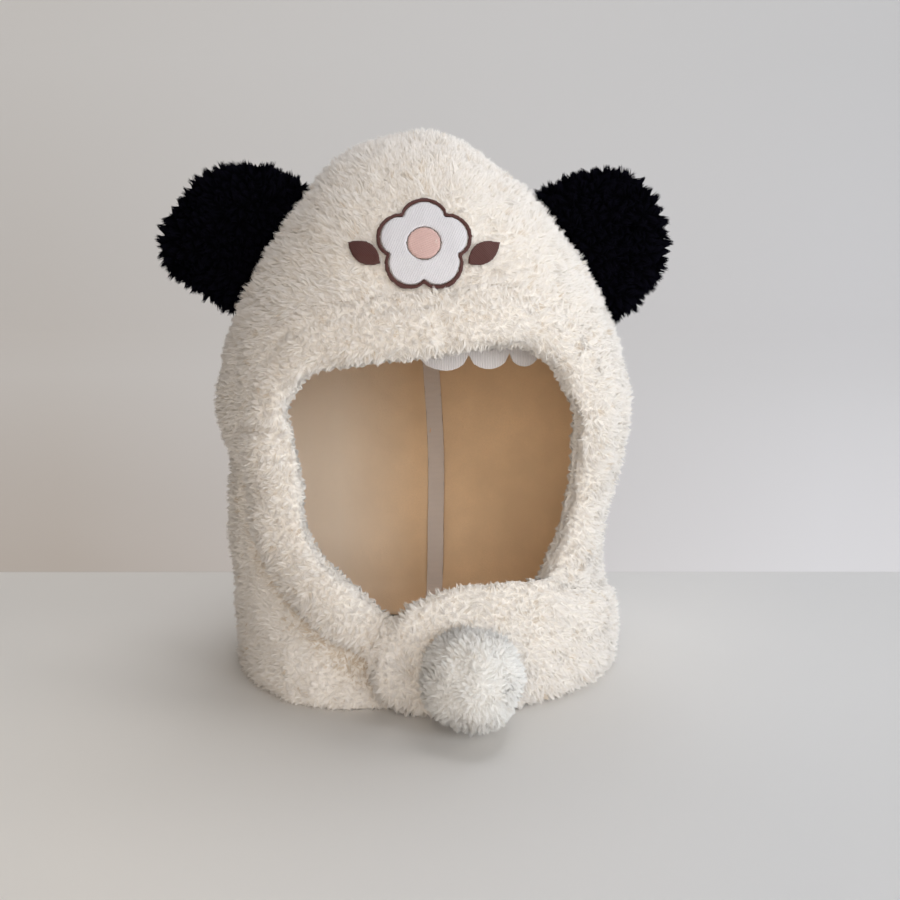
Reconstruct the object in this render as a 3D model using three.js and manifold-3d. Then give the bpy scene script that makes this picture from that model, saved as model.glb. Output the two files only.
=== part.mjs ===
// Child's fleece hood scarf with two round plush ears, a padded roll round the face opening,
// a front flap that wraps over the neck and a pompom. Millimetres, +Z up, the face looks along -Y.
import * as THREE from "three";
import { mergeVertices } from "three/addons/utils/BufferGeometryUtils.js";
import Module from "manifold-3d";

const wasm = await Module();
wasm.setup();

// Hood
const HOOD_WIDTH = 239; // across the cheeks, pile included
const HOOD_DEPTH = 194; // from the brow to the back of the head
const HOOD_HEIGHT = 304.5; // from the hem to the crown
const PLAN_POWER = 2.25; // 2 is an ellipse in plan, more is squarer
const WALL = 11; // fleece, wadding and pile together
const LINING_WALL = 2;
const HEM_LIFT = 2; // the lining stops this far above the hem
const CLEARANCE = 0.3; // between neighbouring pieces

// Padded roll round the face opening
const RIM_WIDTH = 36; // along the hood's surface
const RIM_DEPTH = 28; // square to the surface
const RIM_PROUD = 5; // how far it stands out of the hood

// Front flap and pompom
const FLAP_HEIGHT = 72;
const FLAP_THICKNESS = 20;
const POMPOM_DIAMETER = 57;
const POMPOM_TURN = 9; // degrees round from the middle of the face
const POMPOM_PRESS = 12; // how deep the ball is pressed against the flap
const POMPOM_LIFT = 2.5; // above the hem
const POMPOM_LOCKS = 20;
const POMPOM_HEAD = 0.84; // shares of the ball's radius
const POMPOM_LOCK = 0.42;

// Ears
const EAR_LENGTH = 84; // along the seam
const EAR_REACH = 57; // out from the seam
const EAR_THICKNESS = 30;
const EAR_ROOT = 14; // the stretch that the hood's curve cuts off
const EAR_TURN = 88; // where the seams run, degrees round from the middle of the face
const EAR_CROWN = 0.32; // where an ear is thickest, as a share of its reach

// Badge on the forehead: a flower between two leaves
const BADGE_THICKNESS = 1.4;
const BADGE_HEIGHT = 0.825; // its middle, as a share of the hood's height
const FLOWER_RADIUS = 25;
const FLOWER_EYE = 8.5;
const PETALS = 5;
const PETAL_NOTCH = 0.2; // depth between petals, as a share of the radius
const STITCH_WIDTH = 2.2;
const LEAF_LENGTH = 21;
const LEAF_WIDTH = 11;
const LEAF_RISE = 37; // degrees above level

// Seam tape down the inside of the back, and the scalloped trim behind the brow
const TAPE_WIDTH = 10;
const TAPE_THICKNESS = 1.4;
const TRIM_THICKNESS = 1;
const TRIM_HEM = 0.6; // how low the scallops reach, as a share of HOOD_HEIGHT
const SCALLOP_DEPTH = 8;
const SCALLOP_COUNT = 3;
const TRIM_ROWS = { first: 6.15, last: 9 }; // rows of RIM_LINE that it hangs from

// Mesh steps
const FLOWER_STEPS = 10 * PETALS;
const ROUND_STEPS = 36;
const RISE_STEPS = 26;
const INNER_STEPS = 24;
const INNER_RISE_STEPS = 13;
const RIM_STEPS = 50;
const RIM_SIDES = 12;
const FLAP_STEPS = 24;
const FLAP_SIDES = 12;
const EAR_STEPS = 28;
const TAPE_STEPS = 18;
const SCALLOP_STEPS = 8;

// The hood's outline. Heights are shares of HOOD_HEIGHT, left and right of half the width,
// front and back of half the depth. Left is towards -X.
const SECTIONS = [
  { height: 0, left: 0.93, right: 0.955, front: 0.985, back: 0.87 },
  { height: 0.1, left: 0.932, right: 0.945, front: 0.985, back: 0.885 },
  { height: 0.185, left: 0.937, right: 0.897, front: 0.98, back: 0.895 },
  { height: 0.246, left: 0.953, right: 0.885, front: 0.96, back: 0.905 },
  { height: 0.325, left: 0.952, right: 0.897, front: 0.93, back: 0.925 },
  { height: 0.394, left: 0.941, right: 0.941, front: 0.9, back: 0.945 },
  { height: 0.45, left: 0.98, right: 0.975, front: 0.92, back: 0.965 },
  { height: 0.506, left: 1, right: 0.994, front: 0.94, back: 0.985 },
  { height: 0.545, left: 0.983, right: 0.981, front: 0.955, back: 1 },
  { height: 0.614, left: 0.936, right: 0.928, front: 0.965, back: 1 },
  { height: 0.67, left: 0.887, right: 0.871, front: 0.965, back: 0.985 },
  { height: 0.739, left: 0.812, right: 0.79, front: 0.935, back: 0.95 },
  { height: 0.821, left: 0.686, right: 0.655, front: 0.85, back: 0.88 },
  { height: 0.887, left: 0.552, right: 0.494, front: 0.72, back: 0.745 },
  { height: 0.939, left: 0.436, right: 0.322, front: 0.54, back: 0.56 },
  { height: 0.972, left: 0.31, right: 0.2, front: 0.36, back: 0.37 },
  { height: 0.992, left: 0.14, right: 0.09, front: 0.18, back: 0.185 },
  { height: 1, left: 0, right: 0, front: 0, back: 0 },
];

// Broad dents that the wall follows on both sides. Turns are degrees round from the middle
// of the face towards +X, heights and rises shares of HOOD_HEIGHT, depths of FLAP_THICKNESS.
const BODY_DENTS = [
  { turn: 38, height: 0.05, spread: 42, rise: 0.17, depth: 0.55 }, // room under the flap
  { turn: -33, height: 0, spread: 22, rise: 0.1, depth: -0.3 }, // the left end bulges
];

// Creases in the fleece alone, with depths as shares of WALL.
const FOLDS = [
  { turn: -5, height: 0.748, spread: 46, rise: 0.026, depth: 0.36 }, // above the brow roll
  { turn: -0.5, height: 0.825, spread: 25, rise: 0.09, depth: 0.16 }, // seat of the badge
  { turn: 180, height: 0.36, spread: 70, rise: 0.035, depth: 0.42 }, // nape
  { turn: -78, height: 0.41, spread: 24, rise: 0.035, depth: 0.16 },
  { turn: 98, height: 0.26, spread: 28, rise: 0.035, depth: 0.2 },
  { turn: -57, height: 0.51, spread: 14, rise: 0.03, depth: 0.3 }, // left cheek tuck
  { turn: -55, height: 0.2, spread: 17, rise: 0.03, depth: 0.25 },
  { turn: -72, height: 0.1, spread: 20, rise: 0.028, depth: 0.2 },
  { turn: 180, height: 0.7, spread: 7, rise: 0.3, depth: 0.25 }, // back seam
  { turn: 140, height: 0.16, spread: 20, rise: 0.035, depth: 0.25 },
  { turn: -135, height: 0.2, spread: 22, rise: 0.035, depth: 0.25 },
];

// The roll's middle line, from behind the flap up the right cheek, over the brow and down the
// left cheek to its end under the flap.
// Widths are shares of RIM_WIDTH and depths of RIM_DEPTH.
const RIM_LINE = [
  { turn: 27, height: 0.165, width: 0.6, depth: 0.6 },
  { turn: 42, height: 0.19, width: 0.82, depth: 0.8 },
  { turn: 54, height: 0.25, width: 0.9, depth: 0.92 },
  { turn: 57, height: 0.36, width: 0.92, depth: 0.95 },
  { turn: 54, height: 0.46, width: 0.96, depth: 1 },
  { turn: 51, height: 0.565, width: 1, depth: 1 },
  { turn: 47, height: 0.65, width: 1.03, depth: 1.02 },
  { turn: 34, height: 0.694, width: 1, depth: 1.08 },
  { turn: 15, height: 0.697, width: 1, depth: 1.12 },
  { turn: -1.5, height: 0.684, width: 0.97, depth: 1.1 },
  { turn: -17, height: 0.672, width: 1.02, depth: 1.14 },
  { turn: -31, height: 0.653, width: 1.04, depth: 1.1 },
  { turn: -40, height: 0.605, width: 0.98, depth: 1 },
  { turn: -43, height: 0.545, width: 0.84, depth: 0.84 },
  { turn: -43, height: 0.48, width: 1, depth: 1.04 },
  { turn: -41.5, height: 0.41, width: 0.96, depth: 1 },
  { turn: -39.5, height: 0.34, width: 0.94, depth: 0.96 },
  { turn: -34, height: 0.277, width: 0.9, depth: 0.92 },
  { turn: -25, height: 0.217, width: 0.86, depth: 0.86 },
  { turn: -15, height: 0.165, width: 0.84, depth: 0.8 },
  { turn: -8, height: 0.125, width: 0.78, depth: 0.7 },
  { turn: -2, height: 0.092, width: 0.66, depth: 0.6 },
];

// The flap from the right side to its tab. Bottom and top are shares of FLAP_HEIGHT, thick
// and proud, which is how far its face stands out of the hood, of FLAP_THICKNESS.
const FLAP_LINE = [
  { turn: 106, bottom: 0.14, top: 0.4, thick: 0.4, proud: -0.14 },
  { turn: 94, bottom: -0.02, top: 0.56, thick: 0.72, proud: 0 },
  { turn: 78, bottom: -0.06, top: 0.68, thick: 0.92, proud: 0.08 },
  { turn: 60, bottom: -0.06, top: 0.82, thick: 1, proud: 0.08 },
  { turn: 43, bottom: -0.06, top: 0.98, thick: 1.02, proud: 0.12 },
  { turn: 27, bottom: -0.06, top: 1.05, thick: 1.04, proud: 0.22 },
  { turn: 13, bottom: -0.06, top: 1.06, thick: 1.06, proud: 0.34 },
  { turn: 2, bottom: -0.04, top: 1, thick: 1.1, proud: 0.52 },
  { turn: -5, bottom: 0.03, top: 0.88, thick: 1.12, proud: 0.62 },
  { turn: -9.5, bottom: 0.1, top: 0.76, thick: 1.04, proud: 0.6 },
  { turn: -13, bottom: 0.2, top: 0.62, thick: 0.8, proud: 0.48 },
];

// The tape's middle line as turns from the middle of the back towards +X.
const TAPE_LINE = [
  { height: 0, turn: 2.4 },
  { height: 0.16, turn: 3 },
  { height: 0.32, turn: 3.2 },
  { height: 0.5, turn: 1.6 },
  { height: 0.66, turn: 0.6 },
  { height: 0.8, turn: 0 },
];

// The ears: where the seam starts and ends on the hood, as shares of HOOD_HEIGHT, the turn
// about the seam in degrees, how far the outline slides down it, as a share of the length,
// the reach as a share, and how square the outline is at the top and the bottom.
const EARS = [
  {
    name: "ear_left", side: -1, top: 0.908, bottom: 0.676, yaw: 3,
    slide: 0.035, reach: 1, topPower: 2.15, bottomPower: 3.6,
  },
  {
    name: "ear_right", side: 1, top: 0.888, bottom: 0.66, yaw: 20,
    slide: 0.035, reach: 0.97, topPower: 2.4, bottomPower: 2.6,
  },
];

const COLOURS = {
  fleece: { color: 0xefe6d8, roughness: 0.95 },
  lining: { color: 0xc49c72, roughness: 0.9 },
  tape: { color: 0xd9ccc8, roughness: 0.45 },
  trim: { color: 0xf3efec, roughness: 0.7 },
  plush: { color: 0x0c0b10, roughness: 0.95 },
  white: { color: 0xece8ec, roughness: 0.6 },
  pink: { color: 0xe6bfb6, roughness: 0.6 },
  brown: { color: 0x5a3830, roughness: 0.55 },
  pompom: { color: 0xf0f1ee, roughness: 0.95 },
};

const UP = new THREE.Vector3(0, 0, 1);
const radians = THREE.MathUtils.degToRad;
const rounded = (value, power) => Math.sign(value) * Math.abs(value) ** (2 / power);

// Value of one column of a table at a place counted in rows, on a smooth curve.
function onRows(table, column, place) {
  const last = table.length - 1;
  const low = Math.min(Math.floor(place), last - 1);
  const t = place - low;
  const at = (i) => table[THREE.MathUtils.clamp(i, 0, last)][column];
  const [a, b, c, d] = [at(low - 1), at(low), at(low + 1), at(low + 2)];
  const bend = (2 * a - 5 * b + 4 * c - d) * t * t + (3 * b - a - 3 * c + d) * t * t * t;
  return 0.5 * (2 * b + (c - a) * t + bend);
}

// Place in the sections table of a height given as a share.
function placeOf(height) {
  let low = 0;
  let high = SECTIONS.length - 1;
  for (let i = 0; i < 30; i++) {
    const middle = (low + high) / 2;
    if (onRows(SECTIONS, "height", middle) < height) low = middle;
    else high = middle;
  }
  return (low + high) / 2;
}

// Point of the smooth hood, before dents.
function smoothPoint(turn, place) {
  const angle = radians(turn);
  const across = Math.sin(angle);
  const ahead = Math.cos(angle);
  const side = onRows(SECTIONS, across < 0 ? "left" : "right", place);
  const reach = onRows(SECTIONS, ahead > 0 ? "front" : "back", place);
  return new THREE.Vector3(
    (HOOD_WIDTH / 2) * side * rounded(across, PLAN_POWER),
    (-HOOD_DEPTH / 2) * reach * rounded(ahead, PLAN_POWER),
    HOOD_HEIGHT * onRows(SECTIONS, "height", place),
  );
}

// Outward direction of the smooth hood, from points a small step to each side.
function normalAt(turn, place) {
  const last = SECTIONS.length - 1;
  const step = 0.02;
  if (place > last - step) return UP.clone();
  const round = smoothPoint(turn + 25 * step, place).sub(smoothPoint(turn - 25 * step, place));
  const rise = smoothPoint(turn, place + step).sub(smoothPoint(turn, Math.max(place - step, 0)));
  return round.cross(rise).normalize();
}

// Depth of a table's dents at one place, as a share of the table's own size.
function dentAt(table, turn, height) {
  let depth = 0;
  for (const row of table) {
    const away = THREE.MathUtils.euclideanModulo(turn - row.turn + 180, 360) - 180;
    const near = (away / row.spread) ** 2 + ((height - row.height) / row.rise) ** 2;
    depth += row.depth * Math.exp(-near);
  }
  return depth;
}

// Point of the hood's wall, moved out by offset. Creases are on the fleece side only.
function wallPoint(turn, place, offset, creased = false) {
  const point = smoothPoint(turn, place);
  const height = point.z / HOOD_HEIGHT;
  let out = offset - FLAP_THICKNESS * dentAt(BODY_DENTS, turn, height);
  if (creased) out -= WALL * dentAt(FOLDS, turn, height);
  return point.addScaledVector(normalAt(turn, place), out);
}

// Closed body through rings of points, with a fan at each end.
function loft(rings, startTip, endTip) {
  const steps = rings[0].length;
  const points = rings.flat();
  const faces = [];
  for (let r = 0; r + 1 < rings.length; r++)
    for (let i = 0; i < steps; i++) {
      const j = (i + 1) % steps;
      const [a, b, c, d] = [r * steps + i, r * steps + j, (r + 1) * steps + j, (r + 1) * steps + i];
      faces.push(a, b, c, a, c, d);
    }
  const top = (rings.length - 1) * steps;
  points.push(startTip ?? middleOf(rings[0]), endTip ?? middleOf(rings[rings.length - 1]));
  for (let i = 0; i < steps; i++) {
    const j = (i + 1) % steps;
    faces.push(points.length - 2, j, i);
    faces.push(points.length - 1, top + i, top + j);
  }
  const geometry = new THREE.BufferGeometry().setFromPoints(points);
  geometry.setIndex(volumeOf(points, faces) < 0 ? faces.reverse() : faces);
  return geometry;
}

function middleOf(ring) {
  const sum = new THREE.Vector3();
  for (const point of ring) sum.add(point);
  return sum.divideScalar(ring.length);
}

function volumeOf(points, faces) {
  let volume = 0;
  for (let i = 0; i < faces.length; i += 3) {
    const [a, b, c] = [points[faces[i]], points[faces[i + 1]], points[faces[i + 2]]];
    volume += a.dot(new THREE.Vector3().crossVectors(b, c)) / 6;
  }
  return volume;
}

function solid(geometry) {
  for (const name of ["normal", "uv"]) geometry.deleteAttribute(name);
  const merged = mergeVertices(geometry, 1e-4);
  return new wasm.Manifold(
    new wasm.Mesh({
      numProp: 3,
      vertProperties: new Float32Array(merged.attributes.position.array),
      triVerts: new Uint32Array(merged.index.array),
    }),
  );
}

function geometryOf(body) {
  const mesh = body.getMesh();
  const geometry = new THREE.BufferGeometry();
  geometry.setAttribute("position", new THREE.BufferAttribute(mesh.vertProperties, 3));
  geometry.setIndex(new THREE.BufferAttribute(mesh.triVerts, 1));
  return geometry;
}

// Everything under a height, for cutting hems level.
function below(height) {
  const room = 2 * (HOOD_WIDTH + HOOD_DEPTH);
  return solid(new THREE.BoxGeometry(room, room, room).translate(0, 0, height - room / 2));
}

// The hood as a solid whose skin is moved out by offset, open or flat at the bottom.
function hoodSolid(offset, around, up, creased, through) {
  const last = SECTIONS.length - 1;
  const rings = [];
  for (let r = 0; r < up; r++) {
    const ring = [];
    for (let i = 0; i < around; i++)
      ring.push(wallPoint((360 * i) / around - 180, (last * r) / up, offset, creased));
    rings.push(ring);
  }
  for (const point of rings[0]) point.z = 0;
  if (through) rings.unshift(rings[0].map((p) => p.clone().setZ(-WALL)));
  return solid(loft(rings, null, wallPoint(0, last, offset, creased)));
}

// Rounded closed section in the plane of two directions.
function roundSection(centre, across, out, halfWidth, halfDepth, steps, power) {
  const ring = [];
  for (let i = 0; i < steps; i++) {
    const angle = (2 * Math.PI * i) / steps;
    const point = centre.clone().addScaledVector(across, halfWidth * rounded(Math.cos(angle), power));
    ring.push(point.addScaledVector(out, halfDepth * rounded(Math.sin(angle), power)));
  }
  return ring;
}

// Shrinks the sections near both ends of a roll, so that it ends in a dome.
function domeAt(share, steps) {
  const fromEnd = Math.min(share, 1 - share) * steps;
  return Math.sqrt(Math.min(1, (fromEnd + 0.25) / 2.5));
}

// The roll's middle at a place counted in rows of RIM_LINE.
function rimCentre(place) {
  const turn = onRows(RIM_LINE, "turn", place);
  const level = placeOf(onRows(RIM_LINE, "height", place));
  const depth = RIM_DEPTH * onRows(RIM_LINE, "depth", place);
  const out = normalAt(turn, level);
  return { point: wallPoint(turn, level, RIM_PROUD - depth / 2), out, depth };
}

// The roll, grown by spare all round so that its neighbours can be cut to fit it.
function rimSolid(spare) {
  const last = RIM_LINE.length - 1;
  const rings = [];
  for (let r = 0; r <= RIM_STEPS; r++) {
    const share = r / RIM_STEPS;
    const place = last * share;
    const { point, out, depth } = rimCentre(place);
    const ahead = rimCentre(Math.min(place + 0.1, last)).point;
    ahead.sub(rimCentre(Math.max(place - 0.1, 0)).point).normalize();
    const across = new THREE.Vector3().crossVectors(ahead, out).normalize();
    const square = new THREE.Vector3().crossVectors(across, ahead).normalize();
    const dome = domeAt(share, RIM_STEPS);
    const halfWidth = (RIM_WIDTH / 2) * onRows(RIM_LINE, "width", place) * dome + spare;
    const halfDepth = (depth / 2) * dome + spare;
    if (r === 0) point.addScaledVector(ahead, -spare);
    if (r === RIM_STEPS) point.addScaledVector(ahead, spare);
    rings.push(roundSection(point, across, square, halfWidth, halfDepth, RIM_SIDES, 2.2));
  }
  return solid(loft(rings));
}

// Straight cut through the front wall, inside the roll's middle line.
function doorway() {
  const outline = new THREE.Shape();
  const last = RIM_LINE.length - 1;
  for (let r = 0; r <= RIM_STEPS; r++) {
    const { point } = rimCentre((last * r) / RIM_STEPS);
    if (r === 0) outline.moveTo(point.x, point.z);
    else outline.lineTo(point.x, point.z);
  }
  const prism = new THREE.ExtrudeGeometry(outline, { depth: HOOD_DEPTH, bevelEnabled: false });
  return solid(prism.rotateX(Math.PI / 2));
}

// The flap, grown by spare all round.
function flapSolid(spare) {
  const last = FLAP_LINE.length - 1;
  const rings = [];
  for (let r = 0; r <= FLAP_STEPS; r++) {
    const share = r / FLAP_STEPS;
    const place = last * share;
    const row = (column) => onRows(FLAP_LINE, column, place);
    const dome = domeAt(share, FLAP_STEPS);
    const bottom = FLAP_HEIGHT * row("bottom");
    const top = FLAP_HEIGHT * row("top");
    const level = placeOf(Math.max(0, bottom + top) / 2 / HOOD_HEIGHT);
    const out = normalAt(row("turn"), level).setZ(0).normalize();
    const thick = FLAP_THICKNESS * row("thick");
    const centre = smoothPoint(row("turn"), level);
    centre.addScaledVector(out, FLAP_THICKNESS * row("proud") - thick / 2);
    centre.z = (bottom + top) / 2;
    const halfHeight = ((top - bottom) / 2) * dome + spare;
    const halfDepth = (thick / 2) * dome + spare;
    rings.push(roundSection(centre, UP, out, halfHeight, halfDepth, FLAP_SIDES, 2.5));
  }
  return solid(loft(rings));
}

// Ball of fleece: short locks fused to a round head.
function pompomSolid() {
  const radius = POMPOM_DIAMETER / 2;
  const level = placeOf(radius / HOOD_HEIGHT);
  const out = normalAt(POMPOM_TURN, level).setZ(0).normalize();
  const rows = FLAP_LINE.length - 1;
  let place = 0;
  while (place < rows && onRows(FLAP_LINE, "turn", place) > POMPOM_TURN) place += 0.05;
  const proud = FLAP_THICKNESS * onRows(FLAP_LINE, "proud", place);
  const centre = smoothPoint(POMPOM_TURN, level).addScaledVector(out, proud + radius - POMPOM_PRESS);
  centre.z = radius + POMPOM_LIFT;
  const lock = radius * POMPOM_LOCK;
  let ball = solid(new THREE.IcosahedronGeometry(radius * POMPOM_HEAD, 1));
  const golden = Math.PI * (3 - Math.sqrt(5));
  for (let i = 0; i < POMPOM_LOCKS; i++) {
    const z = 1 - (2 * i + 1) / POMPOM_LOCKS;
    const flat = Math.sqrt(1 - z * z);
    const way = new THREE.Vector3(flat * Math.cos(golden * i), flat * Math.sin(golden * i), z);
    const shape = new THREE.IcosahedronGeometry(lock, 1);
    shape.applyQuaternion(new THREE.Quaternion().setFromUnitVectors(UP, way));
    shape.translate(...way.multiplyScalar(radius - lock).toArray());
    ball = ball.add(solid(shape));
  }
  return ball.translate(centre.toArray());
}

// A D-shaped cushion, crowned on both faces. Its seam lies on the hood's shoulder.
function earSolid(ear) {
  const seamEnd = (height) => wallPoint(EAR_TURN * ear.side, placeOf(height), 0);
  const [top, bottom] = [seamEnd(ear.top), seamEnd(ear.bottom)];
  const along = bottom.clone().sub(top).setY(0).normalize();
  const out = new THREE.Vector3(-along.z, 0, along.x).multiplyScalar(ear.side);
  out.applyAxisAngle(along, radians(ear.yaw * -ear.side));
  const thick = new THREE.Vector3().crossVectors(along, out).normalize();
  const seam = top.clone().lerp(bottom, 0.5).addScaledVector(along, EAR_LENGTH * ear.slide);
  const reach = EAR_REACH * ear.reach;
  const heart = seam.clone().addScaledVector(out, reach * EAR_CROWN);
  const edge = [];
  for (let i = 0; i < EAR_STEPS; i++) {
    const angle = (2 * Math.PI * i) / EAR_STEPS;
    const power = Math.cos(angle) > 0 ? ear.bottomPower : ear.topPower;
    const down = (EAR_LENGTH / 2) * rounded(Math.cos(angle), power);
    const far = rounded(Math.sin(angle), power);
    const point = seam.clone().addScaledVector(along, down);
    edge.push(point.addScaledVector(out, far > 0 ? reach * far : EAR_ROOT * far));
  }
  const rings = [];
  for (const share of [-0.94, -0.72, -0.4, 0, 0.4, 0.72, 0.94]) {
    const size = (1 - share * share) ** 0.35;
    const lift = (EAR_THICKNESS / 2) * share;
    rings.push(edge.map((p) => heart.clone().lerp(p, size).addScaledVector(thick, lift)));
  }
  const tip = (way) => heart.clone().addScaledVector(thick, (way * EAR_THICKNESS) / 2);
  return solid(loft(rings, tip(-1), tip(1)));
}

// A flat outline pushed through the forehead along the badge's facing direction.
function badgePrism(outline) {
  const level = placeOf(BADGE_HEIGHT);
  const out = normalAt(0, level).setX(0).normalize();
  const middle = smoothPoint(0, level);
  const across = new THREE.Vector3(1, 0, 0);
  const up = new THREE.Vector3().crossVectors(out, across).normalize();
  const depth = 4 * WALL;
  const prism = new THREE.ExtrudeGeometry(outline, { depth, bevelEnabled: false, curveSegments: 8 });
  prism.translate(0, 0, -depth / 2);
  prism.applyMatrix4(new THREE.Matrix4().makeBasis(across, up, out).setPosition(middle));
  return solid(prism);
}

// Five round petals, one of them on top.
function flowerOutline(radius) {
  const points = [];
  for (let i = 0; i < FLOWER_STEPS; i++) {
    const share = i / FLOWER_STEPS;
    const angle = 2 * Math.PI * (share + 0.25 - 0.5 / PETALS);
    const bulge = Math.abs(Math.sin(Math.PI * PETALS * share)) ** 0.75;
    const size = radius - FLOWER_RADIUS * PETAL_NOTCH * (1 - bulge);
    points.push(new THREE.Vector2(size * Math.cos(angle), size * Math.sin(angle)));
  }
  return points;
}

// Pointed leaf from under the flower's lower side petal, rising outwards.
function leafOutline(side) {
  const start = new THREE.Vector2(0.88 * FLOWER_RADIUS, -0.4 * FLOWER_RADIUS);
  const way = new THREE.Vector2(Math.cos(radians(LEAF_RISE)), Math.sin(radians(LEAF_RISE)));
  const end = start.clone().addScaledVector(way, LEAF_LENGTH);
  const belly = start.clone().lerp(end, 0.45);
  const sideways = new THREE.Vector2(-way.y, way.x).multiplyScalar(LEAF_WIDTH);
  const over = belly.clone().add(sideways);
  const under = belly.clone().sub(sideways);
  const leaf = new THREE.Shape().moveTo(side * start.x, start.y);
  leaf.quadraticCurveTo(side * over.x, over.y, side * end.x, end.y);
  leaf.quadraticCurveTo(side * under.x, under.y, side * start.x, start.y);
  return leaf;
}

// Flat tape laid against the lining: a thick band, kept only inside the cavity.
function tapeSolid(cavity) {
  const rows = [];
  const skin = -(WALL + LINING_WALL + 2 * CLEARANCE);
  const corners = [
    { side: -0.5, depth: LINING_WALL },
    { side: 0.5, depth: LINING_WALL },
    { side: 0.5, depth: -TAPE_THICKNESS },
    { side: -0.5, depth: -TAPE_THICKNESS },
  ];
  for (let r = 0; r <= TAPE_STEPS; r++) {
    const place = ((TAPE_LINE.length - 1) * r) / TAPE_STEPS;
    const level = placeOf(onRows(TAPE_LINE, "height", place));
    const turn = 180 - onRows(TAPE_LINE, "turn", place);
    const across = new THREE.Vector3().crossVectors(UP, normalAt(turn, level)).normalize();
    const corner = ({ side, depth }) =>
      wallPoint(turn, level, skin + depth).addScaledVector(across, side * TAPE_WIDTH);
    rows.push(corners.map(corner));
  }
  return solid(loft(rows)).intersect(cavity);
}

// Thin scalloped strip that hangs from the back of the brow roll.
function trimSolid() {
  const rows = [];
  const steps = SCALLOP_STEPS * SCALLOP_COUNT;
  for (let r = 0; r <= steps; r++) {
    const share = r / steps;
    const row = TRIM_ROWS.first + (TRIM_ROWS.last - TRIM_ROWS.first) * share;
    const { point, out, depth } = rimCentre(row);
    const scallop = Math.sqrt(Math.abs(Math.sin(Math.PI * SCALLOP_COUNT * share)));
    const hem = TRIM_HEM * HOOD_HEIGHT + SCALLOP_DEPTH * (1 - scallop);
    const front = point.addScaledVector(out.setZ(0).normalize(), -depth / 2 - CLEARANCE);
    const back = front.clone().addScaledVector(out, -TRIM_THICKNESS);
    const [frontHem, backHem] = [front, back].map((p) => p.clone().setZ(hem));
    rows.push([front, back, backHem, frontHem]);
  }
  return solid(loft(rows));
}

const group = new THREE.Group();

function place(name, body, look) {
  const material = new THREE.MeshStandardMaterial({ ...COLOURS[look], metalness: 0 });
  const mesh = new THREE.Mesh(geometryOf(body), material);
  mesh.name = name;
  group.add(mesh);
}

const liningSkin = WALL + CLEARANCE;
const cavitySkin = liningSkin + LINING_WALL;
const inside = (depth) => hoodSolid(-depth, INNER_STEPS, INNER_RISE_STEPS, false, true);
const outside = (offset) => hoodSolid(offset, ROUND_STEPS, RISE_STEPS, true, false);
const shellRoom = outside(CLEARANCE);
const rimRoom = rimSolid(CLEARANCE);
const opening = doorway();

const shell = outside(0).subtract(inside(WALL));
place("hood_shell", shell.subtract(opening).subtract(rimRoom), "fleece");

const lining = inside(liningSkin).subtract(inside(cavitySkin)).subtract(below(HEM_LIFT));
place("hood_lining", lining.subtract(opening).subtract(rimRoom), "lining");

place("face_rim", rimSolid(0), "fleece");

const flap = flapSolid(0).subtract(shellRoom).subtract(rimRoom);
place("collar_flap", flap.subtract(below(0)), "fleece");

const tape = tapeSolid(inside(cavitySkin + CLEARANCE));
place("back_seam_tape", tape.subtract(below(2 * HEM_LIFT)), "tape");

place("scallop_trim", trimSolid().subtract(rimRoom), "trim");

for (const ear of EARS) place(ear.name, earSolid(ear).subtract(shellRoom), "plush");

// Badge pieces are a thin skin over the fleece, cut to their outlines.
const badgeSkin = outside(CLEARANCE + BADGE_THICKNESS).subtract(shellRoom);
const badgePiece = (outline) => badgePrism(outline).intersect(badgeSkin);
const flower = (inset) => flowerOutline(FLOWER_RADIUS - inset);
const eye = (radius) => new THREE.Shape().absarc(0, 0, radius, 0, 2 * Math.PI);

const stitch = new THREE.Shape(flower(0));
stitch.holes.push(new THREE.Path(flower(STITCH_WIDTH)));
place("badge_outline", badgePiece(stitch), "brown");

const petals = new THREE.Shape(flower(STITCH_WIDTH + CLEARANCE));
petals.holes.push(eye(FLOWER_EYE + CLEARANCE));
place("badge_petals", badgePiece(petals), "white");

place("badge_centre", badgePiece(eye(FLOWER_EYE)), "pink");

const flowerRoom = badgePrism(new THREE.Shape(flower(-CLEARANCE)));
place("badge_leaf_left", badgePiece(leafOutline(-1)).subtract(flowerRoom), "brown");
place("badge_leaf_right", badgePiece(leafOutline(1)).subtract(flowerRoom), "brown");

// The ball's back is pressed flat against the flap.
const ball = pompomSolid().subtract(flapSolid(CLEARANCE));
place("pompom", ball.subtract(shellRoom), "pompom");

// The origin is under the middle of the whole thing, on the surface it stands on.
const box = new THREE.Box3().setFromObject(group);
const centre = box.getCenter(new THREE.Vector3());
group.position.set(-centre.x, -centre.y, -box.min.z);

export default group;
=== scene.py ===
"""Looks of the animal hood scarf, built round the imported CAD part.

Metres, +Z up, in the part's own frame.
"""

import math

import bpy
import numpy as np
from bpy.props import FloatProperty, FloatVectorProperty, IntProperty, PointerProperty
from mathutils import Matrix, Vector, kdtree, noise
from mathutils.bvhtree import BVHTree


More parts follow.
